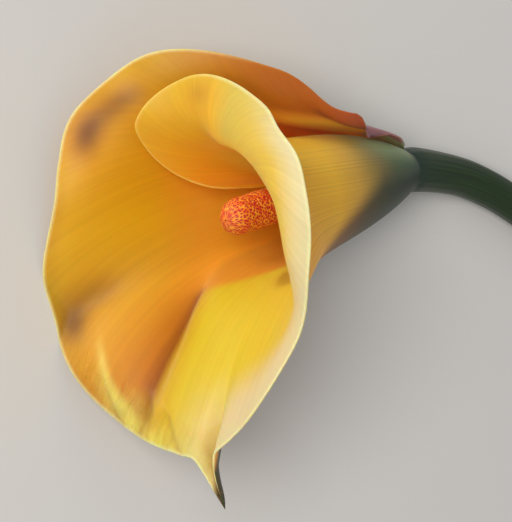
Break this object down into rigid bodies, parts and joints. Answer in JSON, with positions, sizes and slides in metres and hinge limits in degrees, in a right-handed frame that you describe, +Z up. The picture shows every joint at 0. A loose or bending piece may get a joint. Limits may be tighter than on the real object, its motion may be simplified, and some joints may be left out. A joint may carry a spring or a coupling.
{
  "type": "arum lily flower",
  "caption": "Cut yellow calla bloom lying down: a rolled funnel with a flared lip and a pointed tail, a floret-covered spadix inside and a curved stem.",
  "frame": {"origin": "centre of the bounding box, on the surface that the flower lies on", "axes": "+Z up from the surface; -X towards the open mouth of the bloom, +X towards the stem; -Y towards the tail and the stem's cut end"},
  "size_m": [0.1902, 0.139, 0.0784],
  "materials": {
    "stem": "satin",
    "spathe": "satin",
    "spadix": "matte"
  },
  "bodies": {
    "root": {"stem": "stem", "spathe": "spathe", "spadix": "spadix"}
  },
  "joints": []
}
